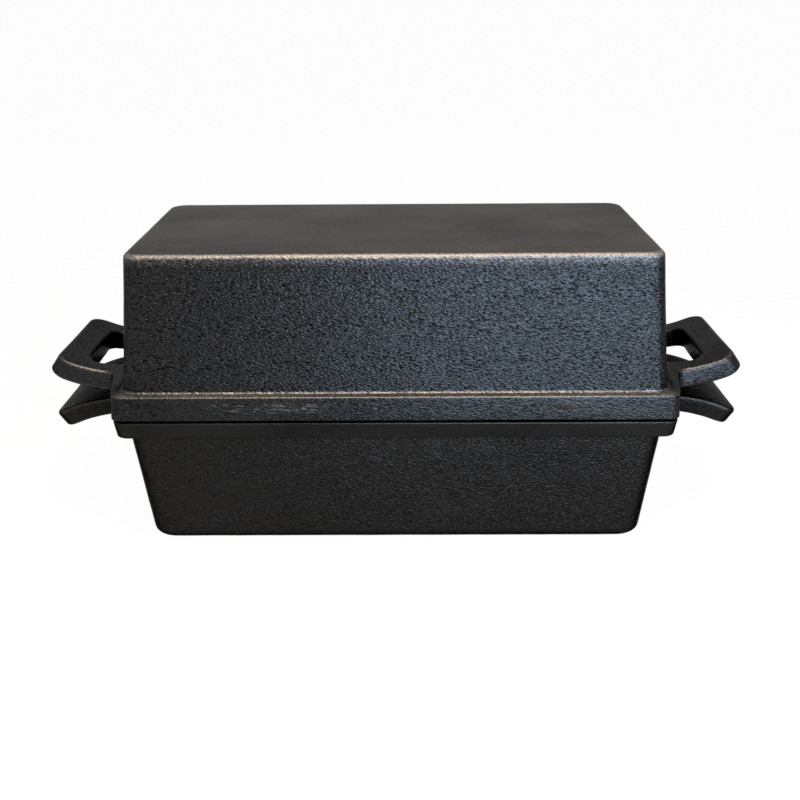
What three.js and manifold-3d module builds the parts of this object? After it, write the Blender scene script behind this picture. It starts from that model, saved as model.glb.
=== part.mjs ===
// A loaf pan with a deep lid, both cast in iron. Two tapered boxes meet rim to rim, and each
// carries two loop handles that curve away from the parting plane.
// Millimetres and degrees. The origin is the centre of the pan's underside, +X runs along the
// loaf and +Z is up.

import * as THREE from 'three';
import Module from 'manifold-3d';

// Rims
const RIM_LENGTH = 240;          // lid's flange along X
const RIM_WIDTH = 117.5;         // lid's flange along Y
const RIM_CORNER = 5;            // plan radius at the flanges' corners
const RIM_EDGE = 0.7;            // rounding along the flanges' outer edges
const SEAT_GAP = 0.8;            // between the lid's seat and the pan's rim

// Walls
const WALL = 4.5;                // side walls of both castings
const DRAFT = 5.2;               // lean of both castings' walls
const COVE = 1.0;                // hollow rounding where a wall meets its flange
const INNER_EDGE = 7;            // hollow rounding round the floor and under the lid's top

// Pan
const PAN_HEIGHT = 62.6;
const PAN_FLANGE = 7.5;          // height of the flange's outer face
const PAN_LEDGE = 4.5;           // how far the flange stands out from the wall
const PAN_SETBACK = 0.5;         // pan's flange inside the outline of the lid's
const PAN_FLOOR = 5;             // thickness of the floor
const PAN_FOOT_EDGE = 6;         // rounding round the underside
const PAN_CORNER = 8;            // plan radius at the wall's corners

// Lid
const LID_HEIGHT = 68.9;         // from its seat to its top
const LID_FLANGE = 11.4;
const LID_LEDGE = 5;
const LID_TOP = 5;               // thickness of the top
const LID_TOP_EDGE = 2.3;        // rounding round the top
const LID_CORNER = 6;

// Ridge on the pan's rim that carries the lid, and the rebate in the lid that takes it
const RIDGE_WIDTH = 3;
const RIDGE_HEIGHT = 1.8;
const RIDGE_CLEARANCE = 0.5;     // beside the ridge
const REST_CLEARANCE = 0.3;      // above the ridge
const RIDGE_EDGE = 0.4;

// Loop handles, measured along the middle of the plate they are bent from
const HANDLE_WIDTH = 57.5;
const HANDLE_GRIP = 14;          // bar across the end
const HANDLE_CORNER = 7;         // outer corners
const HOLE_CORNER = 6;           // corners of the opening at the grip
const ROOT_ROUNDING = 4;         // hollow rounding where a leg's outer side meets its root
const HANDLE_BEND = 29;          // turn of the plate from its root to its end
const HANDLE_EDGE = 1.6;         // rounding along the bars
const LID_HANDLE_LENGTH = 33.6;  // from the flange's face to the outer edge
const LID_HANDLE_THICKNESS = 8.5;
const LID_HANDLE_DROP = 0.2;     // handle's upper face below the lid's ledge
const LID_HANDLE_LEG = 9.3;      // bar on each side of the opening
const LID_HOLE_FLARE = 8;        // hollow rounding in the opening's corners at the flange
const LID_GUSSET_REACH = 5.2;    // how far the widened root stands out from the flange
const LID_GUSSET_WIDTH = 23;     // how much wider the root is on each side
const PAN_HANDLE_LENGTH = 34.8;
const PAN_HANDLE_THICKNESS = 8.2;
const PAN_HANDLE_DROP = 0.4;     // handle's upper face below the pan's rim
const PAN_HANDLE_LEG = 15;
const PAN_HOLE_FLARE = 12;

// Steps of the round stretches
const PLAN_STEPS = 7;
const EDGE_STEPS = 4;
const BAR_STEPS = 3;
const LEG_STEPS = 14;
const TURN_STEPS = 6;
const GRIP_STEPS = 2;

const IRON = { metalness: 0.75, roughness: 0.55 };
const PAN_COLOUR = 0x1c1b1b;
const LID_COLOUR = 0x262423;

const wasm = await Module();
wasm.setup();

const lean = Math.tan(THREE.MathUtils.degToRad(DRAFT));
const seat = PAN_HEIGHT + SEAT_GAP;
const bend = THREE.MathUtils.degToRad(HANDLE_BEND);

// Points along the rounding of one corner of an outline.
function roundCorner(before, corner, after, radius, steps) {
  const back = before.clone().sub(corner).normalize();
  const ahead = after.clone().sub(corner).normalize();
  const half = Math.acos(THREE.MathUtils.clamp(back.dot(ahead), -1, 1)) / 2;
  const middle = back.clone().add(ahead).normalize();
  const centre = corner.clone().addScaledVector(middle, radius / Math.sin(half));
  const start = corner.clone().addScaledVector(back, radius / Math.tan(half));
  const turn = (2 * half - Math.PI) * Math.sign(back.cross(ahead));
  const points = [];
  for (let step = 0; step <= steps; step += 1) {
    points.push(start.clone().rotateAround(centre, turn * step / steps));
  }
  return points;
}

// Points along a wall's section. Each corner has an inset from the rim's outline, a height, the
// radius of its rounding and the plan radius of the casting there. The two ends stay sharp.
function wallSection(corners) {
  const places = corners.map(({ inset, z }) => new THREE.Vector2(inset, z));
  return corners.flatMap(({ radius, plan }, index) => {
    const before = places[index - 1];
    const after = places[index + 1];
    const round = before && after;
    const points = round
      ? roundCorner(before, places[index], after, radius, EDGE_STEPS)
      : [places[index]];
    return points.map((at) => ({ at, plan }));
  });
}

// A rectangle with round corners at one height, counter-clockwise from above.
function planRing({ at, plan }) {
  const halfLength = RIM_LENGTH / 2 - at.x;
  const halfWidth = RIM_WIDTH / 2 - at.x;
  const ring = [];
  for (let quarter = 0; quarter < 4; quarter += 1) {
    const signX = quarter === 0 || quarter === 3 ? 1 : -1;
    const signY = quarter < 2 ? 1 : -1;
    for (let step = 0; step <= PLAN_STEPS; step += 1) {
      const angle = (quarter + step / PLAN_STEPS) * Math.PI / 2;
      const x = signX * (halfLength - plan) + plan * Math.cos(angle);
      const y = signY * (halfWidth - plan) + plan * Math.sin(angle);
      ring.push(new THREE.Vector3(x, y, at.y));
    }
  }
  return ring;
}

// A closed skin through rings of equally many points, with a flat cap on the first and the last.
function loft(rings) {
  const count = rings[0].length;
  const positions = rings.flat().flatMap((point) => point.toArray());
  const triangles = [];
  for (let row = 0; row < rings.length - 1; row += 1) {
    for (let column = 0; column < count; column += 1) {
      const a = row * count + column;
      const b = row * count + (column + 1) % count;
      triangles.push(a, b, b + count, a, b + count, a + count);
    }
  }
  const caps = [rings[0], rings[rings.length - 1]];
  caps.forEach((ring, end) => {
    const hub = positions.length / 3;
    const centre = ring.reduce((sum, point) => sum.add(point), new THREE.Vector3());
    positions.push(...centre.divideScalar(count).toArray());
    const first = end === 0 ? 0 : (rings.length - 1) * count;
    for (let column = 0; column < count; column += 1) {
      const a = first + column;
      const b = first + (column + 1) % count;
      triangles.push(hub, ...(end === 0 ? [b, a] : [a, b]));
    }
  });
  const geometry = new THREE.BufferGeometry();
  geometry.setAttribute('position', new THREE.Float32BufferAttribute(positions, 3));
  geometry.setIndex(triangles);
  return geometry;
}

function toSolid(geometry) {
  return new wasm.Manifold(new wasm.Mesh({
    numProp: 3,
    vertProperties: new Float32Array(geometry.attributes.position.array),
    triVerts: new Uint32Array(geometry.index.array),
  }));
}

function toGeometry(solid) {
  const mesh = solid.getMesh();
  const geometry = new THREE.BufferGeometry();
  geometry.setAttribute('position', new THREE.BufferAttribute(mesh.vertProperties, 3));
  geometry.setIndex(new THREE.BufferAttribute(mesh.triVerts, 1));
  geometry.computeVertexNormals();
  return geometry;
}

// Insets from the rim's outline that the two castings share at the parting plane
const panWallInset = PAN_SETBACK + PAN_LEDGE;
const mouthInset = panWallInset + WALL - PAN_FLANGE * lean;
const ridgeInset = mouthInset - RIDGE_WIDTH;
const rebateInset = ridgeInset - RIDGE_CLEARANCE;

// The pan's skin, from its underside up the outer wall, over the rim and down to the floor.
function panShell() {
  const wallDrop = PAN_HEIGHT - PAN_FLANGE;
  const footInset = panWallInset + wallDrop * lean;
  const innerInset = mouthInset + (PAN_HEIGHT - PAN_FLOOR) * lean;
  const ridgeTop = PAN_HEIGHT + RIDGE_HEIGHT;
  const innerCorner = PAN_CORNER - WALL / 2;
  const section = wallSection([
    { inset: footInset + PAN_FOOT_EDGE * 2, z: 0, plan: PAN_CORNER - PAN_FOOT_EDGE / 2 },
    { inset: footInset, z: 0, radius: PAN_FOOT_EDGE, plan: PAN_CORNER },
    { inset: panWallInset, z: wallDrop, radius: COVE, plan: PAN_CORNER },
    { inset: PAN_SETBACK, z: wallDrop, radius: RIM_EDGE, plan: RIM_CORNER },
    { inset: PAN_SETBACK, z: PAN_HEIGHT, radius: RIM_EDGE, plan: RIM_CORNER },
    { inset: ridgeInset, z: PAN_HEIGHT, radius: RIDGE_EDGE, plan: innerCorner },
    { inset: ridgeInset, z: ridgeTop, radius: RIDGE_EDGE, plan: innerCorner },
    { inset: mouthInset - RIDGE_HEIGHT * lean, z: ridgeTop, radius: RIDGE_EDGE, plan: innerCorner },
    { inset: innerInset, z: PAN_FLOOR, radius: INNER_EDGE, plan: innerCorner },
    { inset: innerInset + INNER_EDGE * 2, z: PAN_FLOOR, plan: innerCorner - INNER_EDGE / 3 },
  ]);
  return loft(section.map(planRing));
}

// The lid's skin, from the underside of its top down the inner wall, round the rim and up.
function lidShell() {
  const top = seat + LID_HEIGHT;
  const ledge = seat + LID_FLANGE;
  const topInset = LID_LEDGE + (LID_HEIGHT - LID_FLANGE) * lean;
  const ceiling = top - LID_TOP;
  const rebateTop = PAN_HEIGHT + RIDGE_HEIGHT + REST_CLEARANCE;
  const innerBase = LID_LEDGE + WALL - (ledge - rebateTop) * lean;
  const innerInset = innerBase + (ceiling - rebateTop) * lean;
  const innerCorner = LID_CORNER - WALL / 4;
  const rebateCorner = PAN_CORNER - WALL / 2;
  const section = wallSection([
    { inset: innerInset + INNER_EDGE * 2, z: ceiling, plan: innerCorner - INNER_EDGE / 4 },
    { inset: innerInset, z: ceiling, radius: INNER_EDGE, plan: innerCorner },
    { inset: innerBase, z: rebateTop, radius: RIDGE_EDGE, plan: innerCorner },
    { inset: rebateInset, z: rebateTop, radius: RIDGE_EDGE, plan: rebateCorner },
    { inset: rebateInset, z: seat, radius: RIDGE_EDGE, plan: rebateCorner },
    { inset: 0, z: seat, radius: RIM_EDGE, plan: RIM_CORNER },
    { inset: 0, z: ledge, radius: RIM_EDGE, plan: RIM_CORNER },
    { inset: LID_LEDGE, z: ledge, radius: COVE, plan: LID_CORNER },
    { inset: topInset, z: top, radius: LID_TOP_EDGE, plan: LID_CORNER },
    { inset: topInset + LID_TOP_EDGE * 2, z: top, plan: LID_CORNER - LID_TOP_EDGE },
  ]);
  return loft(section.map(planRing));
}

// Points evenly spread along a leg's side, from the flange's face to where the grip turns off. The
// side runs straight to a corner beside the leg, is rounded there, and follows the leg.
function legSide(start, corner, end, rounding) {
  const path = new THREE.Path([start, ...roundCorner(start, corner, end, rounding, LEG_STEPS), end]);
  return path.getSpacedPoints(LEG_STEPS);
}

// Half of a handle's loop, laid flat: pairs of points on its outer edge and on its opening, from
// the root inside the flange to the middle of the grip.
function halfLoop({ length, leg, holeFlare, gussetReach, gussetWidth, root }) {
  const outerHalf = HANDLE_WIDTH / 2;
  const holeHalf = outerHalf - leg;
  const holeEnd = length - HANDLE_GRIP;
  const outerTurn = new THREE.Vector2(length - HANDLE_CORNER, outerHalf);
  const holeTurn = new THREE.Vector2(holeEnd - HOLE_CORNER, holeHalf);
  const outerRoot = new THREE.Vector2(0, outerHalf + gussetWidth);
  const holeRoot = new THREE.Vector2(0, holeHalf - holeFlare);
  const outerLeg = legSide(outerRoot, new THREE.Vector2(gussetReach, outerHalf), outerTurn, ROOT_ROUNDING);
  const holeLeg = legSide(holeRoot, new THREE.Vector2(0, holeHalf), holeTurn, holeFlare);
  const pairs = outerLeg.map((outer, step) => ({ outer, hole: holeLeg[step] }));
  pairs.unshift({
    outer: new THREE.Vector2(-root, outerRoot.y),
    hole: new THREE.Vector2(-root, holeRoot.y),
  });
  const pair = (outer, hole) => pairs.push({ outer, hole });
  for (let step = 1; step <= TURN_STEPS; step += 1) {
    const angle = step / TURN_STEPS * Math.PI / 2;
    const arm = new THREE.Vector2(Math.sin(angle), Math.cos(angle) - 1);
    pair(
      outerTurn.clone().addScaledVector(arm, HANDLE_CORNER),
      holeTurn.clone().addScaledVector(arm, HOLE_CORNER),
    );
  }
  for (let step = 1; step <= GRIP_STEPS; step += 1) {
    const share = 1 - step / GRIP_STEPS;
    pair(
      new THREE.Vector2(length, (outerHalf - HANDLE_CORNER) * share),
      new THREE.Vector2(holeEnd, (holeHalf - HOLE_CORNER) * share),
    );
  }
  return pairs;
}

// A point of the flat plate, moved to its place on the plate bent upwards along an arc.
function bent(along, across, height, bendRadius) {
  const turn = Math.max(along, 0) / bendRadius;
  const x = along > 0 ? (bendRadius - height) * Math.sin(turn) : along;
  const z = bendRadius - (bendRadius - height) * Math.cos(turn);
  return new THREE.Vector3(x, across, z);
}

// The bar's section between a point on the loop's outer edge and one on its opening. The edge is
// square to the plate, and the opening's wall is upright.
function barRing({ outer, hole }, thickness, bendRadius) {
  const span = outer.clone().sub(hole);
  const width = span.length();
  const across = span.divideScalar(width);
  const slope = across.x * Math.tan(Math.max(hole.x, 0) / bendRadius);
  const half = thickness / 2;
  const corners = [
    new THREE.Vector2(width, -half),
    new THREE.Vector2(width, half),
    new THREE.Vector2(half * slope, half),
    new THREE.Vector2(-half * slope, -half),
  ];
  return corners.flatMap((corner, index) => {
    const before = corners[(index + 3) % 4];
    const after = corners[(index + 1) % 4];
    return roundCorner(before, corner, after, HANDLE_EDGE, BAR_STEPS).map((point) => {
      const at = hole.clone().addScaledVector(across, point.x);
      return bent(at.x, at.y, point.y, bendRadius);
    });
  });
}

// One loop handle, rooted at the origin, reaching along +X and bending up.
function loopHandle(sizes) {
  const half = halfLoop(sizes);
  const mirrored = half.slice(0, -1).reverse().map(({ outer, hole }) => ({
    outer: new THREE.Vector2(outer.x, -outer.y),
    hole: new THREE.Vector2(hole.x, -hole.y),
  }));
  const bendRadius = sizes.length / bend;
  return loft([...half, ...mirrored].map((pair) => barRing(pair, sizes.thickness, bendRadius)));
}

// A casting: its shell joined with a handle at each end, which bend up or down.
function casting(shell, handle, faceInset, height, bendsDown) {
  let solid = toSolid(shell);
  for (const turn of [0, Math.PI]) {
    const placed = handle.clone();
    if (bendsDown) placed.rotateX(Math.PI);
    placed.translate(RIM_LENGTH / 2 - faceInset, 0, height);
    placed.rotateZ(turn);
    solid = solid.add(toSolid(placed));
  }
  return toGeometry(solid);
}

function makePan() {
  const handle = loopHandle({
    length: PAN_HANDLE_LENGTH,
    thickness: PAN_HANDLE_THICKNESS,
    leg: PAN_HANDLE_LEG,
    holeFlare: PAN_HOLE_FLARE,
    gussetReach: 0,
    gussetWidth: ROOT_ROUNDING,
    root: PAN_LEDGE + WALL / 2,
  });
  const height = PAN_HEIGHT - PAN_HANDLE_DROP - PAN_HANDLE_THICKNESS / 2;
  const geometry = casting(panShell(), handle, PAN_SETBACK, height, true);
  const pan = new THREE.Mesh(geometry, new THREE.MeshStandardMaterial({ color: PAN_COLOUR, ...IRON }));
  pan.name = 'pan';
  return pan;
}

function makeLid() {
  const handle = loopHandle({
    length: LID_HANDLE_LENGTH,
    thickness: LID_HANDLE_THICKNESS,
    leg: LID_HANDLE_LEG,
    holeFlare: LID_HOLE_FLARE,
    gussetReach: LID_GUSSET_REACH,
    gussetWidth: LID_GUSSET_WIDTH,
    root: LID_LEDGE / 2,
  });
  const height = seat + LID_FLANGE - LID_HANDLE_DROP - LID_HANDLE_THICKNESS / 2;
  const geometry = casting(lidShell(), handle, 0, height, false);
  const lid = new THREE.Mesh(geometry, new THREE.MeshStandardMaterial({ color: LID_COLOUR, ...IRON }));
  lid.name = 'lid';
  return lid;
}

const loafPan = new THREE.Group();
loafPan.add(makePan(), makeLid());

export default loafPan;
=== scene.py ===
# %% [markdown]
# A loaf pan with a deep lid, cast in iron
#
# The object is two castings and nothing else: a tapered pan, and a lid just as deep that sits on
# its rim. Each was poured in a sand mould in one piece with its flange and its two loop handles,
# then brushed with oil and baked until the oil set as a black film, which cooks call seasoning.
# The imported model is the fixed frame. It gives the place and the size of both castings, and this
# script makes their fine shape, their skin and their finish in that frame, in metres.

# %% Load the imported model
import math
from collections import namedtuple

import bpy
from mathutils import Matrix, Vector


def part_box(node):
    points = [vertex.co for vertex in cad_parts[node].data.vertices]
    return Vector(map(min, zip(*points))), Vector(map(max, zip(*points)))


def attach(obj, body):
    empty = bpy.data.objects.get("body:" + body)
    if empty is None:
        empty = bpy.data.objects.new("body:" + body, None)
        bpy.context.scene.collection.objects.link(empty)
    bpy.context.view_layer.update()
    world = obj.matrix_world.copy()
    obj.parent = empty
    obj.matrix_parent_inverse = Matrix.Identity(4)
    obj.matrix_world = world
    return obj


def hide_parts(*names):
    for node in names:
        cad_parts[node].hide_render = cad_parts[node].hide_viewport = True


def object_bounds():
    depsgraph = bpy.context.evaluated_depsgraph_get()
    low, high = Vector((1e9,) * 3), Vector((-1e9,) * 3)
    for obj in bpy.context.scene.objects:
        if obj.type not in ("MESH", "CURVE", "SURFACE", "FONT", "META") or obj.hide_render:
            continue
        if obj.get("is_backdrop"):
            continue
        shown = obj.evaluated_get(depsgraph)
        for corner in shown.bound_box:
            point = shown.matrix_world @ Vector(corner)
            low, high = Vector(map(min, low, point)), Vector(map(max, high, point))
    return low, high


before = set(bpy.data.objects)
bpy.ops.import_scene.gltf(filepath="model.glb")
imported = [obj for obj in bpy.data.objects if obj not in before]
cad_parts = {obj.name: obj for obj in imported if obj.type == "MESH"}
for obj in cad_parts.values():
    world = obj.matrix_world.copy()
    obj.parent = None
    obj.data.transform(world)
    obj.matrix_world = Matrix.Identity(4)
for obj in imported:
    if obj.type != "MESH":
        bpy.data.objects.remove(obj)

CAD_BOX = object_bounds()

# %% [markdown]
# Sizes
#
# The heights and the width come from the boxes of the two packed castings, so they cannot drift
# from the frame. The remaining sizes are those of a pattern maker's drawing, in millimetres: wall,
# draft, flanges and roundings. Draft is the lean that lets a pattern slip out of the sand.

# %% Rim, wall and ridge, in millimetres
MM = 0.001

pan_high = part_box("pan")[1]
lid_low, lid_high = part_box("lid")

RIM_WIDTH = (lid_high.y - lid_low.y) / MM
RIM_LENGTH = 240
RIM_CORNER = 5
RIM_EDGE = 0.7
FLANGE_DRAFT = 0.9
WALL = 4.5
DRAFT = math.tan(math.radians(5.2))
COVE = 1.0
INNER_EDGE = 7

RIDGE_HEIGHT = 1.8
RIDGE_WIDTH = 3
RIDGE_CLEARANCE = 0.5
RIDGE_EDGE = 0.4
REST_CLEARANCE = 0.3

print(f"rim {RIM_LENGTH} x {RIM_WIDTH:.1f} mm, wall {WALL} mm")

# %% Sizes of the pan and of the lid, in millimetres
PAN_RIM = pan_high.z / MM - RIDGE_HEIGHT
PAN_FLANGE = 7.5
PAN_LEDGE = 4.5
PAN_SETBACK = 0.5
PAN_FLOOR = 5
PAN_FOOT_EDGE = 6
PAN_CORNER = 8

LID_SEAT = lid_low.z / MM
LID_TOP = lid_high.z / MM
LID_FLANGE = 10.9
LID_LEDGE = 5
LID_THICKNESS = 5
LID_TOP_EDGE = 2.3
LID_CORNER = 6
LID_FADE = 5

print(f"pan rim {PAN_RIM:.1f}, lid seat {LID_SEAT:.1f}, lid top {LID_TOP:.1f} mm")

# %% [markdown]
# Adding nodes
#
# Every tree and material below is a set of nodes joined by links. One small function adds a node:
# it sets the node's own settings, and for each input it either sets a number or links the output
# of an earlier node. A second one turns a colour as a painter would write it, a hex value, into
# the linear numbers that the renderer mixes with.

# %% Helpers for nodes and colours
def add(tree, kind, inputs=None, **settings):
    """Adds a node. An input is a value, a socket, a node whose output is meant, or a list of these."""
    node = tree.nodes.new(kind)
    for name, value in settings.items():
        setattr(node, name, value)
    for key, value in (inputs or {}).items():
        socket = node.inputs[key] if isinstance(key, int) else next(
            socket for socket in node.inputs if socket.enabled and socket.name == key)
        for part in value if isinstance(value, list) else [value]:
            if isinstance(part, bpy.types.Node):
                part = next(socket for socket in part.outputs if socket.enabled)
            if isinstance(part, bpy.types.NodeSocket):
                tree.links.new(part, socket)
            else:
                socket.default_value = part
    return node


def linear(code):
    """An sRGB hex colour as linear RGBA."""
    shares = [int(code[at:at + 2], 16) / 255 for at in (1, 3, 5)]
    return (*(s / 12.92 if s <= 0.04045 else ((s + 0.055) / 1.055) ** 2.4 for s in shares), 1)


print("linear mid grey:", [round(share, 3) for share in linear("#808080")])

# %% [markdown]
# The finish: seasoned, sand-cast iron
#
# Sand leaves a pebbled skin on iron, and the baked oil lies over it as a thin black film with a
# satin gloss. The eye sees pebbles about a millimetre across on the lid's walls, smoother faces
# where the mould was rubbed flat, and warm grey along the edges, where the film is rubbed thin and
# the metal shows. Shade is painted in as a near black colour in the handles' openings, in the
# parting line and at the roots of the pan's handles. The pits between the pebbles are painted
# darker, partly as a darker film and partly as painted shade in the pits. Knocks have left a few
# short scuffs along the lid's flange. Pebbles are far too many to model, so they are bump from
# noise in object coordinates. How rubbed, how shaded and how pebbled a face is comes from two
# attributes that the shapes carry, edge and relief, so all follow the casting and not the view.
# The iron mirrors its surroundings, so it is a metal with a very dark colour. Its tint towards
# grazing angles is cut to a half or a third, as a rough skin shadows itself there.

# %% Noise with the size of sand marks
# Moulding sand marks iron in grains of about half a millimetre, which is hardly more than a pixel
# in the photograph's view. So the pebbles are drawn coarser along the wall, in order to show.
PEBBLE_SIZE = (1.4, 1.4, 0.55)
PEBBLE_SLANT = math.radians(12)
STREAK_SIZE = (60, 30, 30)


def sand_noise(tree, place, size, slant=0.0, **inputs):
    """Noise whose lumps have this size in millimetres along X, Y and Z, turned about Y."""
    scale = tuple(part * MM for part in size)
    fitted = add(tree, "ShaderNodeMapping", {"Vector": place, "Rotation": (0, slant, 0), "Scale": scale},
                 vector_type="TEXTURE")
    return add(tree, "ShaderNodeTexNoise", {"Vector": fitted, "Scale": 1.0, **inputs})


print("pebbles", PEBBLE_SIZE, "mm, streaks", STREAK_SIZE, "mm")

# %% Scuff marks on the lid's flange
DASH_SIZE = (5, 5, 0.5)
DASH_LEVELS = (0.56, 0.66)
SPELL_SIZE = (34, 34, 34)
SPELL_LEVELS = (0.43, 0.53)
MARK_BAND = (1.2 * MM, 2.6 * MM)
MARK_ENDS = (112 * MM, 116 * MM)
MARK_SHARE = 0.3
LID_MARKS = LID_SEAT + 0.55 * LID_FLANGE


def scuff_marks(tree, place, level):
    """Short dashes that come in spells along a level line, as knocks on a flange leave them."""
    dashes = sand_noise(tree, place, DASH_SIZE, PEBBLE_SLANT / 2, Detail=2.0, Distortion=0.6)
    spells = sand_noise(tree, place, SPELL_SIZE)
    spot = add(tree, "ShaderNodeSeparateXYZ", {0: place}).outputs
    apart = add(tree, "ShaderNodeMath", {0: spot["Z"], 1: level * MM}, operation="SUBTRACT")
    away = add(tree, "ShaderNodeMath", {0: apart}, operation="ABSOLUTE")
    along = add(tree, "ShaderNodeMath", {0: spot["X"]}, operation="ABSOLUTE")
    marks = 1.0
    for value, levels, shares in (
        (dashes, DASH_LEVELS, (0.0, 1.0)),
        (spells, SPELL_LEVELS, (0.0, 1.0)),
        (away, MARK_BAND, (1.0, 0.0)),
        (along, MARK_ENDS, (1.0, 0.0)),
    ):
        share = add(tree, "ShaderNodeMapRange", {
            "Value": value, "From Min": levels[0], "From Max": levels[1],
            "To Min": shares[0], "To Max": shares[1]})
        marks = add(tree, "ShaderNodeMath", {0: marks, 1: share}, operation="MULTIPLY")
    return marks


print(f"marks lie at {LID_MARKS:.1f} mm")

# %% Seasoned iron
# Levels are heights in the noise, from 0 in a pit to 1 on a pebble. Shares are parts of one.
PIT_LEVELS = (0.28, 0.6)
RUB_LEVELS = (0.35, 0.65)
RUB_SHARES = (0.4, 1.0)
STREAK_SHARES = (0.2, 0.8)
FLAT_ROUGHNESS = 0.42
PEBBLE_ROUGHNESS = 0.12
WEAR_ROUGHNESS = 0.4
# Painted shade: where the edge value falls below zero, the colour darkens to this near black.
PAINTED_SHADE_FILM = "#060606"
PAINTED_SHADE_AT = -0.25


def seasoned_iron(name, dark_film_and_pit_shade, film_on_pebbles, bare, depth, rim_tint, marks_at=None):
    """Sand-cast iron under a baked oil film: black, satin, pebbled, worn grey along the edges, and painted
    dark as shade in pits and hollows.
    """
    material = bpy.data.materials.new(name)
    material.use_nodes = True
    tree = material.node_tree
    tree.nodes.clear()

    place = add(tree, "ShaderNodeTexCoord").outputs["Object"]
    edge = add(tree, "ShaderNodeAttribute", attribute_name="edge").outputs["Fac"]
    relief = add(tree, "ShaderNodeAttribute", attribute_name="relief").outputs["Fac"]
    pebbles = sand_noise(tree, place, PEBBLE_SIZE, PEBBLE_SLANT, Detail=1.5, Roughness=0.5, Distortion=0.2)
    streaks = sand_noise(tree, place, STREAK_SIZE, Detail=4.0, Roughness=0.6)
    height = add(tree, "ShaderNodeMath", {0: pebbles, 1: relief}, operation="MULTIPLY")
    if marks_at:
        marks = scuff_marks(tree, place, marks_at)
        height = add(tree, "ShaderNodeMath", {0: marks, 1: MARK_SHARE, 2: height}, operation="MULTIPLY_ADD")
        edge = add(tree, "ShaderNodeMath", {0: marks, 1: MARK_SHARE, 2: edge}, operation="MULTIPLY_ADD")
    bump = add(tree, "ShaderNodeBump", {"Height": height, "Strength": 1.0, "Distance": depth * MM})

    calm = add(tree, "ShaderNodeMapRange", {
        "Value": streaks, "To Min": STREAK_SHARES[0], "To Max": STREAK_SHARES[1]})
    grain = add(tree, "ShaderNodeMix", {"Factor": relief, "A": calm, "B": pebbles})
    # The dark colour in the pits is partly a darker film and partly painted shade in the pits.
    tops = add(tree, "ShaderNodeMapRange", {
        "Value": grain, "From Min": PIT_LEVELS[0], "From Max": PIT_LEVELS[1]},
        interpolation_type="SMOOTHSTEP")
    film = add(tree, "ShaderNodeMix", {
        "Factor": tops, "A": linear(dark_film_and_pit_shade), "B": linear(film_on_pebbles)}, data_type="RGBA")
    rubbed = add(tree, "ShaderNodeMapRange", {
        "Value": grain, "From Min": RUB_LEVELS[0], "From Max": RUB_LEVELS[1],
        "To Min": RUB_SHARES[0], "To Max": RUB_SHARES[1]})
    wear = add(tree, "ShaderNodeMath", {0: rubbed, 1: edge}, operation="MULTIPLY", use_clamp=True)
    worn = add(tree, "ShaderNodeMix", {"Factor": wear, "A": film, "B": linear(bare)}, data_type="RGBA")
    # Painted shade: a negative edge value darkens the colour to near black in gaps, openings and roots.
    painted_shade = add(tree, "ShaderNodeMapRange", {"Value": edge, "From Min": 0.0, "From Max": PAINTED_SHADE_AT})
    tone = add(tree, "ShaderNodeMix", {
        "Factor": painted_shade, "A": worn, "B": linear(PAINTED_SHADE_FILM)}, data_type="RGBA")

    satin = add(tree, "ShaderNodeMapRange", {
        "Value": relief, "To Min": FLAT_ROUGHNESS, "To Max": PEBBLE_ROUGHNESS})
    gloss = add(tree, "ShaderNodeMath", {0: wear, 1: WEAR_ROUGHNESS, 2: satin}, operation="MULTIPLY_ADD")
    shader = add(tree, "ShaderNodeBsdfPrincipled", {
        "Base Color": tone, "Metallic": 1.0, "Specular Tint": (rim_tint, rim_tint, rim_tint, 1.0),
        "Roughness": gloss, "Normal": bump})
    add(tree, "ShaderNodeOutputMaterial", {"Surface": shader})
    return material


lid_iron = seasoned_iron(
    "seasoned_sand_cast_iron_lid", dark_film_and_pit_shade="#090909", film_on_pebbles="#303030", bare="#8c8680",
    depth=0.42, rim_tint=0.5, marks_at=LID_MARKS)
pan_iron = seasoned_iron(
    "seasoned_sand_cast_iron_pan", dark_film_and_pit_shade="#151413", film_on_pebbles="#292827", bare="#7f7a75",
    depth=0.52, rim_tint=0.33)
print("materials:", lid_iron.name, pan_iron.name)

# %% [markdown]
# The rule behind every shape here
#
# Cut either casting level at any height and the outline is a rectangle with round corners. Cut a
# handle's bar anywhere and it is one too. So one Geometry Nodes tree can make them all: it lays a
# rounded rectangle at each of a row of stations and joins them with one skin. The stations are
# the points of a small mesh, which carry the half sizes, the corner radius and the two directions
# of the rectangle. A second small mesh gives the steps round it. A loft in mesh code would do the
# same, but a tree shows the rule in one place and serves the shells and the handles alike.

# %% Points that carry values for a tree
def carrier(name, points, **values):
    """A mesh of loose points in metres, with float or vector values on them."""
    mesh = bpy.data.meshes.new(name)
    mesh.from_pydata(points, [], [])
    for key, column in values.items():
        if isinstance(column[0], (int, float)):
            mesh.attributes.new(key, "FLOAT", "POINT").data.foreach_set("value", column)
        else:
            flat = [part for vector in column for part in vector]
            mesh.attributes.new(key, "FLOAT_VECTOR", "POINT").data.foreach_set("vector", flat)
    obj = bpy.data.objects.new(name, mesh)
    bpy.context.scene.collection.objects.link(obj)
    print(name, "carries", list(values), "on", len(points), "points")
    return obj


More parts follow.
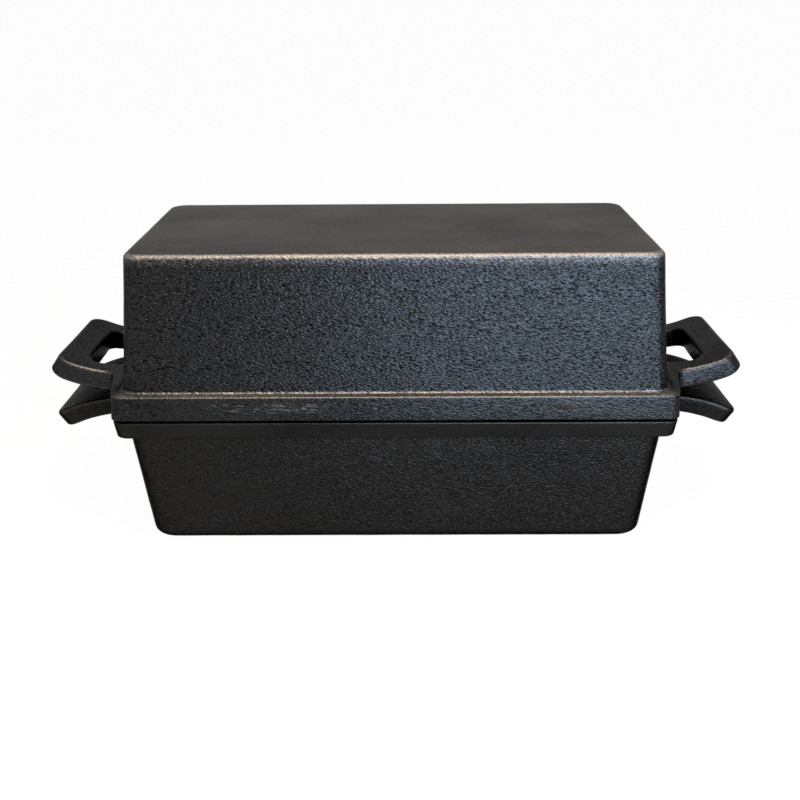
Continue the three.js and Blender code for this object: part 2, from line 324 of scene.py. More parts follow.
# %% Steps round a rounded rectangle
def outline(name, corner_steps, long_steps, short_steps, rubbed):
    """For each step: how far it lies to the sides, which way the corner turns, and its edge value: wear
    above zero, painted shade below.
    """
    reach, turn, edge = [], [], []
    signs = [(1, 1), (-1, 1), (-1, -1), (1, -1)]
    for quarter, (x, y) in enumerate(signs):
        for step in range(corner_steps + 1):
            angle = (quarter + step / corner_steps) * math.pi / 2
            reach.append((x, y, 0))
            turn.append((math.cos(angle), math.sin(angle), 0))
            edge.append(rubbed(math.cos(angle), math.sin(math.pi * step / corner_steps)))
        next_x, next_y = signs[(quarter + 1) % 4]
        side_steps = long_steps if quarter % 2 == 0 else short_steps
        for step in range(1, side_steps):
            share = step / side_steps
            reach.append((x + (next_x - x) * share, y + (next_y - y) * share, 0))
            turn.append(turn[-1])
            edge.append(rubbed(turn[-1][0], 0.0))
    for column in (reach, turn, edge):
        column.append(column[0])
    return carrier(name, reach, turn=turn, edge=edge)


def ends_sheltered(way, _):
    """A shell's two short ends lie behind the handles, where nothing rubs them."""
    return -abs(way)


def rubbed_outside_shaded_inside(way, bulge):
    """A bar is rubbed along the outer corners, and inside the opening it is painted near black as shade."""
    return bulge if way > 0 else 2 * way


shell_outline = outline(
    "shell_outline", corner_steps=9, long_steps=96, short_steps=44, rubbed=ends_sheltered)
bar_outline = outline(
    "bar_outline", corner_steps=5, long_steps=6, short_steps=4, rubbed=rubbed_outside_shaded_inside)

# %% [markdown]
# The stacking tree
#
# The skin starts as a flat grid with one row for each station and one column for each step. Every
# grid point looks up the values of its row and its column, and from these it works out where it
# belongs. A bar's outer face also leans by its draft, while the face in the opening stays upright,
# so that the sand can be drawn. The seam and the ends are then merged shut.

# %% A grid with a row for each station
def new_tree(name, **sockets):
    """A geometry tree with a geometry input and output, and further named inputs."""
    tree = bpy.data.node_groups.new(name, "GeometryNodeTree")
    tree.interface.new_socket("Geometry", in_out="INPUT", socket_type="NodeSocketGeometry")
    tree.interface.new_socket("Geometry", in_out="OUTPUT", socket_type="NodeSocketGeometry")
    for key, kind in sockets.items():
        tree.interface.new_socket(key, in_out="INPUT", socket_type="NodeSocket" + kind)
    return tree, add(tree, "NodeGroupInput").outputs


stack, given = new_tree("rounded_rectangle_stack", Outline="Object")
steps = add(stack, "GeometryNodeObjectInfo", {"Object": given["Outline"]}).outputs["Geometry"]
rows = add(stack, "GeometryNodeAttributeDomainSize", {"Geometry": given["Geometry"]})
columns = add(stack, "GeometryNodeAttributeDomainSize", {"Geometry": steps})
grid = add(stack, "GeometryNodeMeshGrid", {"Vertices X": rows, "Vertices Y": columns})
index = add(stack, "GeometryNodeInputIndex")
row = add(stack, "FunctionNodeIntegerMath", {0: index, 1: columns}, operation="DIVIDE_FLOOR")
column = add(stack, "FunctionNodeIntegerMath", {0: index, 1: columns}, operation="MODULO")
print("grid:", len(stack.nodes), "nodes")

# %% Values of each grid point's station and step
STATION_VALUES = {
    "position": "FLOAT_VECTOR", "half_size": "FLOAT_VECTOR", "radius": "FLOAT", "side": "FLOAT_VECTOR",
    "rise": "FLOAT_VECTOR", "slope": "FLOAT", "draft": "FLOAT", "edge": "FLOAT", "relief": "FLOAT",
    "corner_edge": "FLOAT",
}
STEP_VALUES = {"position": "FLOAT_VECTOR", "turn": "FLOAT_VECTOR", "edge": "FLOAT"}


def carried(source, at, kinds):
    """The values that a mesh carries at an index, by name."""
    found = {}
    for key, kind in kinds.items():
        if key == "position":
            value = add(stack, "GeometryNodeInputPosition")
        else:
            value = add(stack, "GeometryNodeInputNamedAttribute", {"Name": key}, data_type=kind)
        found[key] = add(stack, "GeometryNodeSampleIndex", {"Geometry": source, "Value": value, "Index": at},
                         data_type=kind)
    return found


station = carried(given["Geometry"], row, STATION_VALUES)
step = carried(steps, column, STEP_VALUES)
print("values looked up:", len(station) + len(step))

# %% Where a point lies within its rectangle
inner = add(stack, "ShaderNodeVectorMath", {0: station["half_size"], 1: station["radius"]},
            operation="SUBTRACT")
straight = add(stack, "ShaderNodeVectorMath", {0: step["position"], 1: inner}, operation="MULTIPLY")
ring = add(stack, "ShaderNodeVectorMath", {0: step["turn"], 1: station["radius"], 2: straight},
           operation="MULTIPLY_ADD")
across = add(stack, "ShaderNodeSeparateXYZ", {0: ring})
half = add(stack, "ShaderNodeSeparateXYZ", {0: station["half_size"]})

from_far = add(stack, "ShaderNodeMath", {0: half, 1: across}, operation="SUBTRACT")
whole = add(stack, "ShaderNodeMath", {0: half, 1: 2.0}, operation="MULTIPLY")
near = add(stack, "ShaderNodeMath", {0: from_far, 1: whole}, operation="DIVIDE")
far = add(stack, "ShaderNodeMath", {0: 1.0, 1: near}, operation="SUBTRACT")
drawn_in = add(stack, "ShaderNodeMath", {0: far, 1: station["draft"]}, operation="MULTIPLY")
upright = add(stack, "ShaderNodeMath", {0: near, 1: station["slope"]}, operation="MULTIPLY")
leaning = add(stack, "ShaderNodeMath", {0: upright, 1: drawn_in}, operation="SUBTRACT")
shifted = add(stack, "ShaderNodeMath", {0: leaning, 1: across.outputs["Y"], 2: across},
              operation="MULTIPLY_ADD")
print("rectangle:", len(stack.nodes), "nodes")

# %% Where it lies in space, and what it carries on
SEAM = 0.004 * MM

along_side = add(stack, "ShaderNodeVectorMath", {0: station["side"], "Scale": shifted}, operation="SCALE")
along_rise = add(stack, "ShaderNodeVectorMath", {0: station["rise"], "Scale": across.outputs["Y"]},
                 operation="SCALE")
sideways = add(stack, "ShaderNodeVectorMath", {0: station["position"], 1: along_side}, operation="ADD")
spot = add(stack, "ShaderNodeVectorMath", {0: sideways, 1: along_rise}, operation="ADD")
skin = add(stack, "GeometryNodeSetPosition", {"Geometry": grid.outputs["Mesh"], "Position": spot})

# Edge values above zero are wear, and below zero they are painted shade.
corner_wear_and_shade = add(stack, "ShaderNodeMath", {0: station["corner_edge"], 1: step["edge"]},
                  operation="MULTIPLY")
wear = add(stack, "ShaderNodeMath", {0: station["edge"], 1: corner_wear_and_shade}, operation="ADD")
for key, value in (("edge", wear), ("relief", station["relief"])):
    skin = add(stack, "GeometryNodeStoreNamedAttribute", {"Geometry": skin, "Name": key, "Value": value},
               data_type="FLOAT", domain="POINT")
outward = add(stack, "GeometryNodeFlipFaces", {"Mesh": skin})
closed = add(stack, "GeometryNodeMergeByDistance", {"Geometry": outward, "Distance": SEAM})
add(stack, "NodeGroupOutput", {"Geometry": closed})
print("stack tree:", len(stack.nodes), "nodes")

# %% [markdown]
# The two shells
#
# A shell's section is a short list of corners, read from the middle of one flat face, round the
# wall and the flange, to the middle of the other. Each corner has its inset from the rim, its
# height, the radius of its rounding, the plan radius of the casting there, and how much the film
# is rubbed along it. It also tells how pebbled and how rubbed the face after it is, and whether
# that wear fades at the sheltered ends. Below zero, an edge value paints shade: the colour there
# turns near black. Long runs are cut into rows about two millimetres apart, so that the uneven
# skin of a casting has points to move.

# %% Points along the rounding of a corner
EDGE_STEPS = 6


def round_corner(before, corner, after, radius):
    """Points along an arc that touches both runs at a corner."""
    back = (before - corner).normalized()
    ahead = (after - corner).normalized()
    half_angle = math.acos(max(-1.0, min(1.0, back.dot(ahead)))) / 2
    centre = corner + (back + ahead).normalized() * (radius / math.sin(half_angle))
    arm = corner + back * (radius / math.tan(half_angle)) - centre
    turn = (2 * half_angle - math.pi) * math.copysign(1, back.x * ahead.y - back.y * ahead.x)
    points = []
    for at in range(EDGE_STEPS + 1):
        angle = turn * at / EDGE_STEPS
        cos, sin = math.cos(angle), math.sin(angle)
        points.append(centre + Vector((arm.x * cos - arm.y * sin, arm.x * sin + arm.y * cos)))
    return points


print("a rounding has", EDGE_STEPS, "steps")

# %% Rows along a section
ROW_STEP = 2.2
Corner = namedtuple("Corner", "inset z rounding plan relief edge wear shelter", defaults=[0, 0, 0])


def wall_section(corners):
    """Rows (inset, z, plan radius, wear and painted shade, relief, shelter) along a section, in millimetres.
    """
    places = [Vector((corner.inset, corner.z)) for corner in corners]
    rows = []
    for at, corner in enumerate(corners):
        before = corners[max(at - 1, 0)]
        points = [places[at]]
        if corner.rounding:
            points = round_corner(places[at - 1], places[at], places[at + 1], corner.rounding)
        for number, point in enumerate(points):
            share = number / EDGE_STEPS
            face_wear = before.wear + (corner.wear - before.wear) * share
            wear = face_wear + (corner.edge - face_wear) * math.sin(math.pi * share)
            relief = before.relief + (corner.relief - before.relief) * share
            shelter = wear * (before.shelter + (corner.shelter - before.shelter) * share)
            row = Vector((point.x, point.y, corner.plan, wear, relief, shelter))
            if number == 0 and rows:
                start = rows[-1]
                count = max(1, round((row - start).xy.length / ROW_STEP))
                rows += [start.lerp(row, cut / count) for cut in range(1, count)]
            rows.append(row)
    return rows


def shell(name, corners):
    """A casting's shell, as stations for the stack tree."""
    insets, heights, plans, wear_and_shade, reliefs, shelters = map(list, zip(*wall_section(corners)))
    count = len(insets)
    return carrier(
        name,
        [(0, 0, height * MM) for height in heights],
        half_size=[((RIM_LENGTH / 2 - inset) * MM, (RIM_WIDTH / 2 - inset) * MM, 0) for inset in insets],
        radius=[plan * MM for plan in plans],
        side=[(1, 0, 0)] * count,
        rise=[(0, 1, 0)] * count,
        slope=[0.0] * count,
        draft=[0.0] * count,
        edge=wear_and_shade,
        relief=reliefs,
        corner_edge=shelters,
    )


print("a corner has", Corner._fields)

# %% The pan's section
SPINE = RIM_WIDTH / 2
pan_wall_inset = PAN_SETBACK + PAN_LEDGE
mouth_inset = pan_wall_inset + WALL - PAN_FLANGE * DRAFT
ridge_inset = mouth_inset - RIDGE_WIDTH
pan_cove = PAN_RIM - PAN_FLANGE
pan_foot_inset = pan_wall_inset + pan_cove * DRAFT
pan_inner_inset = mouth_inset + (PAN_RIM - PAN_FLOOR) * DRAFT
inner_corner = PAN_CORNER - WALL / 2
ridge_top = PAN_RIM + RIDGE_HEIGHT
ridge_end = mouth_inset - RIDGE_HEIGHT * DRAFT

pan_shell = shell("pan_casting", [
    Corner(SPINE, 0, 0, 0, relief=0.4),
    Corner(pan_foot_inset, 0, PAN_FOOT_EDGE, PAN_CORNER, relief=0.8),
    Corner(pan_wall_inset, pan_cove, COVE, PAN_CORNER, relief=0.3),
    Corner(PAN_SETBACK + FLANGE_DRAFT, pan_cove, RIM_EDGE, RIM_CORNER, relief=0.25),
    Corner(PAN_SETBACK, PAN_RIM, RIM_EDGE, RIM_CORNER, relief=0.3, edge=0.05),
    Corner(ridge_inset, PAN_RIM, RIDGE_EDGE, inner_corner, relief=0.3),
    Corner(ridge_inset, ridge_top, RIDGE_EDGE, inner_corner, relief=0.3, edge=0.8, wear=0.6),
    Corner(ridge_end, ridge_top, RIDGE_EDGE, inner_corner, relief=0.6, edge=0.8),
    Corner(pan_inner_inset, PAN_FLOOR, INNER_EDGE, inner_corner, relief=0.4),
    Corner(SPINE, PAN_FLOOR, 0, 0, relief=0.4),
])

# %% The lid's section
# The wear of the lid's top edge fades out over the last few millimetres of the wall below it.
rebate_inset = ridge_inset - RIDGE_CLEARANCE
lid_ledge = LID_SEAT + LID_FLANGE
lid_top_inset = LID_LEDGE + (LID_TOP - lid_ledge) * DRAFT
lid_ceiling = LID_TOP - LID_THICKNESS
rebate_top = ridge_top + REST_CLEARANCE
lid_inner_base = LID_LEDGE + WALL - (lid_ledge - rebate_top) * DRAFT
lid_inner_inset = lid_inner_base + (lid_ceiling - rebate_top) * DRAFT
lid_inner_corner = LID_CORNER - WALL / 4
fade_inset = lid_top_inset - LID_FADE * DRAFT

lid_shell = shell("lid_casting", [
    Corner(SPINE, lid_ceiling, 0, 0, relief=0.4),
    Corner(lid_inner_inset, lid_ceiling, INNER_EDGE, lid_inner_corner, relief=0.6),
    Corner(lid_inner_base, rebate_top, RIDGE_EDGE, lid_inner_corner, relief=0.3, edge=0.5),
    Corner(rebate_inset, rebate_top, RIDGE_EDGE, inner_corner, relief=0.3),
    Corner(rebate_inset, LID_SEAT, RIDGE_EDGE, inner_corner, relief=0.2, edge=0.5),
    # The lid's lower rim edge is painted dark, as shade in the parting line.
    Corner(0, LID_SEAT, RIM_EDGE, RIM_CORNER, relief=0.6, edge=-0.3),
    Corner(FLANGE_DRAFT, lid_ledge, RIM_EDGE, RIM_CORNER, relief=0.5, edge=0.4, wear=0.85, shelter=1),
    # The cove gets the lighter worn colour as a painted highlight, which brightens the line along it.
    Corner(LID_LEDGE, lid_ledge, COVE, LID_CORNER, relief=1, edge=0.42),
    Corner(fade_inset, LID_TOP - LID_FADE, 0, LID_CORNER, relief=1, wear=0.2),
    Corner(lid_top_inset, LID_TOP, LID_TOP_EDGE, LID_CORNER, relief=0.25, edge=1, wear=0.32),
    Corner(SPINE, LID_TOP, 0, 0, relief=0.25, wear=0.32),
])

# %% [markdown]
# The loop handles
#
# Each handle is a flat loop of iron, wider across the grip than along its legs, with hollow
# roundings where the legs grow out of the flange. The pattern maker bent the loop along an arc,
# up on the lid and down on the pan, but kept the opening's walls upright so that the sand could be
# drawn, and gave the outside a draft. The same stack tree runs round the loop: each station lies
# half way between a point on the outer edge and one on the opening. The pan's handles have shade
# painted into their colour at the roots, which lie in the shade of the flange and under the lid's
# handles, and the walls of every opening are painted near black as shade. The wear grows towards
# the grip.

# %% Sizes of the handles, in millimetres and degrees
# Drop is how far the loop lies below its ledge, and root is how far its legs run into the casting.
# At the flange a gusset widens each leg outwards, and the flare widens it into the opening.
Handle = namedtuple("Handle", (
    "length width thickness drop draft leg hole_flare gusset_reach gusset_width root wear root_wear"))
ROOT_ROUNDING = 4
LID_HANDLE = Handle(
    length=33.0, width=59.5, thickness=8.8, drop=-0.1, draft=7.5, leg=10.3, hole_flare=8,
    gusset_reach=5.2, gusset_width=22, root=LID_LEDGE / 2, wear=0.02, root_wear=0.02)
# The pan's handles are painted darker at their roots, as shade under the lid's handles.
PAN_HANDLE = Handle(
    length=34.4, width=57.5, thickness=8.2, drop=0.4, draft=5, leg=15, hole_flare=13.4,
    gusset_reach=0, gusset_width=ROOT_ROUNDING, root=PAN_LEDGE + WALL / 2, wear=0, root_wear=-0.15)

HANDLE_GRIP = 14
HANDLE_CORNER = 7
HOLE_CORNER = 6
HANDLE_BEND = math.radians(29)
HANDLE_EDGE = 1.6
HANDLE_RELIEF = 0.5
HANDLE_CORNER_WEAR_AND_SHADE = 0.16
ROOT_SHADE = 22
print("handles reach", LID_HANDLE.length, "and", PAN_HANDLE.length, "mm from their flanges")

# %% Half of a loop, from its root to the middle of the grip
LEG_STEPS = 28
TURN_STEPS = 10
GRIP_STEPS = 6


def leg_side(start, corner, end, rounding):
    """Points evenly spread along a leg's side: straight to a corner, rounded there, and on to its end."""
    path = [start, *round_corner(start, corner, end, rounding), end]
    lengths = [(after - before).length for before, after in zip(path, path[1:])]
    points, at, passed = [], 0, 0.0
    for number in range(LEG_STEPS + 1):
        target = sum(lengths) * number / LEG_STEPS
        while at < len(lengths) - 1 and passed + lengths[at] <= target:
            passed += lengths[at]
            at += 1
        points.append(path[at].lerp(path[at + 1], (target - passed) / lengths[at]))
    return points


def half_loop(handle):
    """Pairs of points (outer edge, opening) from the root inside the flange to the grip's middle."""
    outer_half = handle.width / 2
    hole_half = outer_half - handle.leg
    hole_end = handle.length - HANDLE_GRIP
    outer_turn = Vector((handle.length - HANDLE_CORNER, outer_half))
    hole_turn = Vector((hole_end - HOLE_CORNER, hole_half))
    outer_root = Vector((0, outer_half + handle.gusset_width))
    hole_root = Vector((0, hole_half - handle.hole_flare))
    inside = Vector((-handle.root, 0))
    pairs = [(outer_root + inside, hole_root + inside)]
    pairs += zip(
        leg_side(outer_root, Vector((handle.gusset_reach, outer_half)), outer_turn, ROOT_ROUNDING),
        leg_side(hole_root, Vector((0, hole_half)), hole_turn, handle.hole_flare),
    )
    for number in range(1, TURN_STEPS + 1):
        angle = number / TURN_STEPS * math.pi / 2
        arm = Vector((math.sin(angle), math.cos(angle) - 1))
        pairs.append((outer_turn + arm * HANDLE_CORNER, hole_turn + arm * HOLE_CORNER))
    for number in range(1, GRIP_STEPS + 1):
        share = 1 - number / GRIP_STEPS
        pairs.append((
            Vector((handle.length, (outer_half - HANDLE_CORNER) * share)),
            Vector((hole_end, (hole_half - HOLE_CORNER) * share)),
        ))
    return pairs


print("half a loop has", len(half_loop(LID_HANDLE)), "pairs of points")

# %% Stations round a whole loop
def loop(name, handle):
    """A handle's loop, as stations for the stack tree. Its two root ends close inside the flange."""
    start = half_loop(handle)
    mirror = Vector((1, -1))
    pairs = start + [(outer * mirror, hole * mirror) for outer, hole in reversed(start[:-1])]
    middles = [(outer + hole) / 2 for outer, hole in pairs]
    spans = [outer - hole for outer, hole in pairs]
    slopes = [span.normalized().x * math.tan(max(hole.x, 0) / handle.length * HANDLE_BEND)
              for (_, hole), span in zip(pairs, spans)]
    # A root value below zero paints shade near the root, which fades out towards the grip.
    wear_and_shade = [handle.root_wear + (handle.wear - handle.root_wear) * min(max(middle.x / ROOT_SHADE, 0), 1)
             for middle in middles]
    order = [0, *range(len(pairs)), len(pairs) - 1]
    count = len(order)
    open_ends = [0, *[1] * len(pairs), 0]
    return carrier(
        name,
        [(*(middles[at] * MM), 0) for at in order],
        half_size=[(spans[at].length / 2 * MM * end, handle.thickness / 2 * MM * end, 0)
                   for at, end in zip(order, open_ends)],
        radius=[HANDLE_EDGE * MM * end for end in open_ends],
        side=[(*spans[at].normalized(), 0) for at in order],
        rise=[(0, 0, 1)] * count,
        slope=[slopes[at] for at in order],
        draft=[math.tan(math.radians(handle.draft))] * count,
        edge=[wear_and_shade[at] for at in order],
        relief=[HANDLE_RELIEF] * count,
        corner_edge=[HANDLE_CORNER_WEAR_AND_SHADE] * count,
    )


print("wear grows over", ROOT_SHADE, "mm from the root")

# %% [markdown]
# Bending the loop
#
# The loop is laid out flat, because its outline is easy to draw that way. A small tree then rolls
# it onto an arc: what lies beyond the flange follows the arc, and the root behind stays straight.
# A curve modifier could bend it too, but here the radius follows from the handle's length.

# %% A tree that bends a flat loop along an arc
bend, given = new_tree("loop_bend", Radius="Float")
flat_spot = add(bend, "ShaderNodeSeparateXYZ", {0: add(bend, "GeometryNodeInputPosition")})
along = add(bend, "ShaderNodeMath", {0: flat_spot, 1: 0.0}, operation="MAXIMUM")
behind = add(bend, "ShaderNodeMath", {0: flat_spot, 1: 0.0}, operation="MINIMUM")
angle = add(bend, "ShaderNodeMath", {0: along, 1: given["Radius"]}, operation="DIVIDE")
arm = add(bend, "ShaderNodeMath", {0: given["Radius"], 1: flat_spot.outputs["Z"]}, operation="SUBTRACT")
sine = add(bend, "ShaderNodeMath", {0: angle}, operation="SINE")
cosine = add(bend, "ShaderNodeMath", {0: angle}, operation="COSINE")
out = add(bend, "ShaderNodeMath", {0: arm, 1: sine, 2: behind}, operation="MULTIPLY_ADD")
fall = add(bend, "ShaderNodeMath", {0: arm, 1: cosine}, operation="MULTIPLY")
up = add(bend, "ShaderNodeMath", {0: given["Radius"], 1: fall}, operation="SUBTRACT")
bent = add(bend, "ShaderNodeCombineXYZ", {"X": out, "Y": flat_spot.outputs["Y"], "Z": up})
bent_loop = add(bend, "GeometryNodeSetPosition", {"Geometry": given["Geometry"], "Position": bent})
add(bend, "NodeGroupOutput", {"Geometry": bent_loop})
print("bend tree:", len(bend.nodes), "nodes")

# %% [markdown]
# Joining, and the skin of a casting
#
# Both handles of a casting are the same loop, so a third tree sets it on two points, one turned
# half way round, and joins the pair with the shell. The tree then gives the metal its unevenness:
# molten iron shrinks and the sand gives way a little, so no face is quite flat and no edge quite
# straight. Noise with a fixed seed moves each point inwards by up to a fifth of a millimetre,
# never outwards, so the casting keeps inside its drawing. The bump alone could not do this, because
# the outline and the long highlights would stay ruler straight.

# %% A tree that sets the handles and joins them
cast, given = new_tree("casting", Handle="Object", Root="Vector", Roll="Float", Lump="Float", Depth="Float",
                       Seed="Float", Material="Material")
handle = add(cast, "GeometryNodeObjectInfo", {"Object": given["Handle"]}).outputs["Geometry"]
roll = add(cast, "ShaderNodeCombineXYZ", {"X": given["Roll"]})
rolled = add(cast, "FunctionNodeEulerToRotation", {0: roll})
rooted = add(cast, "GeometryNodeTransform", {
    "Geometry": handle, "Translation": given["Root"], "Rotation": rolled})
half_turns = add(cast, "ShaderNodeMath", {0: add(cast, "GeometryNodeInputIndex"), 1: math.pi},
                 operation="MULTIPLY")
spin = add(cast, "FunctionNodeEulerToRotation", {0: add(cast, "ShaderNodeCombineXYZ", {"Z": half_turns})})
ends = add(cast, "GeometryNodePoints", {"Count": 2})
pair = add(cast, "GeometryNodeInstanceOnPoints", {"Points": ends, "Instance": rooted, "Rotation": spin})
handles = add(cast, "GeometryNodeRealizeInstances", {"Geometry": pair})
joined = add(cast, "GeometryNodeMeshBoolean", {1: [given["Geometry"], handles]},
             operation="UNION", solver="MANIFOLD")
print("joining:", len(cast.nodes), "nodes")

# %% The uneven skin of the casting
LUMP_LEVELS = (0.25, 0.75)

scale = add(cast, "ShaderNodeMath", {0: 1.0, 1: given["Lump"]}, operation="DIVIDE")
lumps = add(cast, "ShaderNodeTexNoise", {
    "Vector": add(cast, "GeometryNodeInputPosition"), "W": given["Seed"], "Scale": scale,
    "Detail": 2.0, "Roughness": 0.5}, noise_dimensions="4D")
sink = add(cast, "ShaderNodeMapRange", {
    "Value": lumps, "From Min": LUMP_LEVELS[0], "From Max": LUMP_LEVELS[1], "To Min": 0.0, "To Max": -1.0})
relief = add(cast, "GeometryNodeInputNamedAttribute", {"Name": "relief"}, data_type="FLOAT")
rough = add(cast, "ShaderNodeMath", {0: sink, 1: relief}, operation="MULTIPLY")
depth = add(cast, "ShaderNodeMath", {0: rough, 1: given["Depth"]}, operation="MULTIPLY")
inwards = add(cast, "ShaderNodeVectorMath", {0: add(cast, "GeometryNodeInputNormal"), "Scale": depth},
              operation="SCALE")
uneven = add(cast, "GeometryNodeSetPosition", {"Geometry": joined.outputs["Mesh"], "Offset": inwards})
smooth = add(cast, "GeometryNodeSetShadeSmooth", {"Geometry": uneven})
real = add(cast, "GeometryNodeRealizeInstances", {"Geometry": smooth})
finished = add(cast, "GeometryNodeSetMaterial", {"Geometry": real, "Material": given["Material"]})
add(cast, "NodeGroupOutput", {"Geometry": finished})
print("casting tree:", len(cast.nodes), "nodes")

# %% [markdown]
# Making the castings
#
# A tree runs as a modifier on the mesh that carries the stations. What comes out is read back as a
# plain mesh and the modifiers are taken off, because an export would lose what is still live. The
# volume is worked out as a check: it is above zero only where a closed skin points outwards.

# %% Helpers that run a tree and keep its result
def run(obj, tree, **values):
    """Puts a tree on an object, with its named inputs set by their identifiers."""
    modifier = obj.modifiers.new(tree.name, "NODES")
    modifier.node_group = tree
    for item in tree.interface.items_tree:
        if item.in_out == "INPUT" and item.name in values:
            modifier[item.identifier] = values[item.name]


def make_plain(obj):
    """Swaps an object's mesh for the result of its trees, and takes the trees off."""
    evaluated = obj.evaluated_get(bpy.context.evaluated_depsgraph_get())
    mesh = bpy.data.meshes.new_from_object(evaluated)
    obj.modifiers.clear()
    obj.data = mesh
    mesh.name = obj.name


def volume(mesh):
    """The volume inside a closed mesh, above zero where its faces point outwards."""
    mesh.calc_loop_triangles()
    corners = [[mesh.vertices[at].co for at in triangle.vertices] for triangle in mesh.loop_triangles]
    return sum(a.dot(b.cross(c)) / 6 for a, b, c in corners)


print("trees:", stack.name, bend.name, cast.name)

# %% The two castings
SKIN_LUMP = 14
SKIN_DEPTH = 0.2


def casting(shell_object, handle, face_inset, ledge, roll, seed, material):
    """Joins a shell with its two handles into one plain, closed mesh."""
    bar = loop(shell_object.name + "_loop", handle)
    run(bar, stack, Outline=bar_outline)
    run(bar, bend, Radius=handle.length / HANDLE_BEND * MM)
    run(shell_object, stack, Outline=shell_outline)
    root = (RIM_LENGTH / 2 - face_inset, 0, ledge - handle.drop - handle.thickness / 2)
    run(shell_object, cast, Handle=bar, Root=[part * MM for part in root], Roll=roll,
        Lump=SKIN_LUMP * MM, Depth=SKIN_DEPTH * MM, Seed=seed, Material=material)
    make_plain(shell_object)
    bpy.data.objects.remove(bar)
    cubic_cm = volume(shell_object.data) * 1e6
    print(shell_object.name, len(shell_object.data.loop_triangles), "triangles,", round(cubic_cm), "cm3")
    return shell_object


lid = casting(lid_shell, LID_HANDLE, 0, lid_ledge, roll=0.0, seed=2.0, material=lid_iron)
pan = casting(pan_shell, PAN_HANDLE, PAN_SETBACK, PAN_RIM, roll=math.pi, seed=5.0, material=pan_iron)
for helper in (shell_outline, bar_outline):
    bpy.data.objects.remove(helper)

# %% [markdown]
# Riding on the frame
#
# The lid lifts straight off the pan, so each casting rides on its own body and takes the place of
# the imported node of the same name.

# %% Tie the castings to their bodies
for piece, body in ((lid, "lid"), (pan, "pan")):
    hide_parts(body)
    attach(piece, body)
    print(piece.name, "rides on", body)

# %% [markdown]
# Floor and background
#
# The object stands on a plain white sweep. The floor is matt and takes the shadow. For rays from
# the camera, and for rays that bounce off the glossy film, most of its brightness is given
# directly, so that the background is white without more light on the iron. The room around it
# does the same, and gives only a weak fill to everything else.

# %% White floor
FLOOR_SIZE = 40
DIRECT_SHARE = 0.97


def direct_rays(tree):
    """One for rays from the camera, from gloss and through glass, and zero for the rest."""
    ray = add(tree, "ShaderNodeLightPath").outputs
    seen = add(tree, "ShaderNodeMath", {0: ray["Is Camera Ray"], 1: ray["Is Glossy Ray"]},
               operation="MAXIMUM")
    return add(tree, "ShaderNodeMath", {0: seen, 1: ray["Is Transmission Ray"]}, operation="MAXIMUM")


def white_floor():
    """Matt white paint, most of whose brightness is given directly to the eye."""
    material = bpy.data.materials.new("matt_white_sweep")
    material.use_nodes = True
    tree = material.node_tree
    tree.nodes.clear()
    share = add(tree, "ShaderNodeMath", {0: direct_rays(tree), 1: DIRECT_SHARE}, operation="MULTIPLY")
    matt = add(tree, "ShaderNodeBsdfDiffuse", {"Color": linear("#f2f2f2")})
    glow = add(tree, "ShaderNodeEmission", {"Color": linear("#ffffff"), "Strength": 1.0})
    both = add(tree, "ShaderNodeMixShader", {0: share, 1: matt, 2: glow})
    add(tree, "ShaderNodeOutputMaterial", {"Surface": both})
    return material


half_floor = FLOOR_SIZE / 2
floor_corners = [(x * half_floor, y * half_floor, 0) for x, y in ((-1, -1), (1, -1), (1, 1), (-1, 1))]
floor_mesh = bpy.data.meshes.new("floor")
floor_mesh.from_pydata(floor_corners, [], [(0, 1, 2, 3)])
floor_mesh.materials.append(white_floor())
floor = bpy.data.objects.new("floor", floor_mesh)
bpy.context.scene.collection.objects.link(floor)
floor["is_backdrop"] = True
print("floor", FLOOR_SIZE, "m wide")

# %% White room
FILL = 0.25

world = bpy.data.worlds.new("white_room")
bpy.context.scene.world = world
world.use_nodes = True
sky = world.node_tree
sky.nodes.clear()
fill = add(sky, "ShaderNodeBackground", {"Color": linear("#ffffff"), "Strength": FILL})
white = add(sky, "ShaderNodeBackground", {"Color": linear("#ffffff"), "Strength": 1.0})
room = add(sky, "ShaderNodeMixShader", {0: direct_rays(sky), 1: fill, 2: white})
add(sky, "ShaderNodeOutputWorld", {"Surface": room})
print("world", world.name, "with fill", FILL)

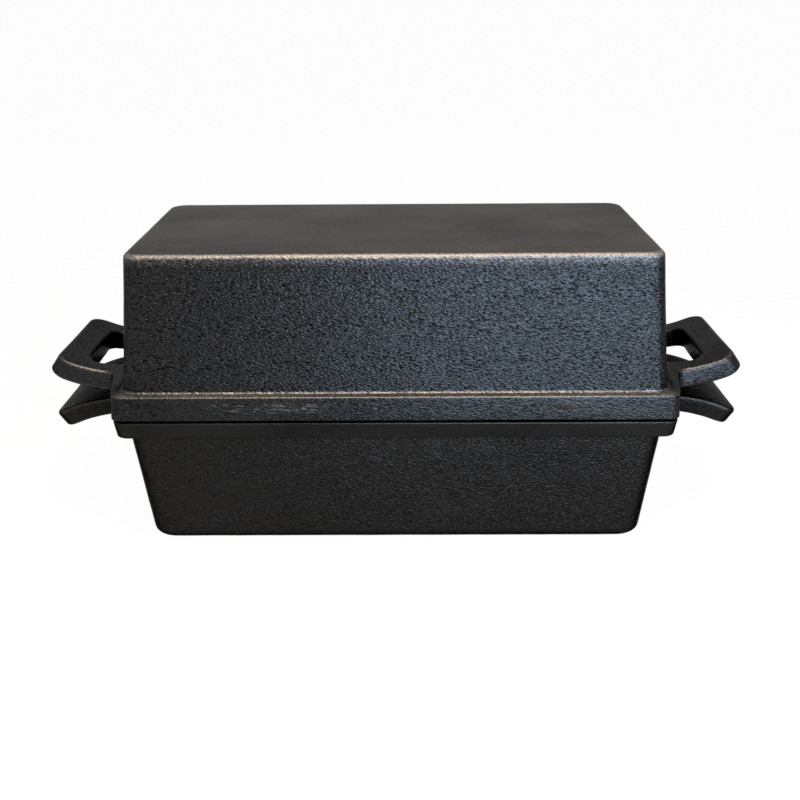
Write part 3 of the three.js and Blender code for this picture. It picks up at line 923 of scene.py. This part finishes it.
# %% [markdown]
# Light
#
# Two soft boxes: a warm one overhead, which draws the bright lines along the top edge and the
# ledge, and a cool one low in front on the right, like a window. It stands close to where the lid's
# front mirrors it from the camera, so a modest lamp brings out the pebbles there.

# %% Soft boxes
def soft_box(name, place, aim, width, height, colour, power):
    """An area lamp of this width and height, in metres, that points at a spot."""
    lamp = bpy.data.lights.new(name, "AREA")
    lamp.shape = "RECTANGLE"
    lamp.size = width
    lamp.size_y = height
    lamp.color = linear(colour)[:3]
    lamp.energy = power
    obj = bpy.data.objects.new(name, lamp)
    obj.location = place
    obj.rotation_euler = (Vector(aim) - Vector(place)).to_track_quat("-Z", "Y").to_euler()
    bpy.context.scene.collection.objects.link(obj)
    print(name, power, "W")


soft_box("ceiling_box", place=(0.04, -0.36, 0.95), aim=(0.04, -0.36, 0),
         width=0.5, height=0.6, colour="#ffefdc", power=12.0)
soft_box("window_box", place=(0.425, -0.5, 0.19), aim=(0.425, -0.054, 0.19),
         width=0.85, height=0.28, colour="#c4e0ff", power=8.2)

# %% [markdown]
# Camera
#
# The photograph looks down a little on the long side. The place, the tilt and the lens were found
# by matching the castings' edges with those in the picture.

# %% Camera
SENSOR_WIDTH = 36
LENS = 43.35
CAMERA_PLACE = (4.64, -424.42, 231.68)
CAMERA_TURN = (66.577, 0.359, 0.225)

camera = bpy.data.objects.new("camera", bpy.data.cameras.new("camera"))
camera.data.sensor_width = SENSOR_WIDTH
camera.data.lens = LENS
camera.location = [part * MM for part in CAMERA_PLACE]
camera.rotation_euler = [math.radians(part) for part in CAMERA_TURN]
bpy.context.scene.collection.objects.link(camera)
bpy.context.scene.camera = camera
bpy.context.scene.view_settings.view_transform = "Standard"
print("camera at", CAMERA_PLACE, "mm")

# %% [markdown]
# Sizes once more
#
# The looks may not change the object's size, so the box of the finished castings is set beside the
# box of the imported ones.

# %% Compare the sizes and finish
VISUAL_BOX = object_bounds()
for name, (low, high) in (("packed", CAD_BOX), ("visual", VISUAL_BOX)):
    print(name, "box in mm:", [round(part / MM, 2) for part in (*low, *high)])
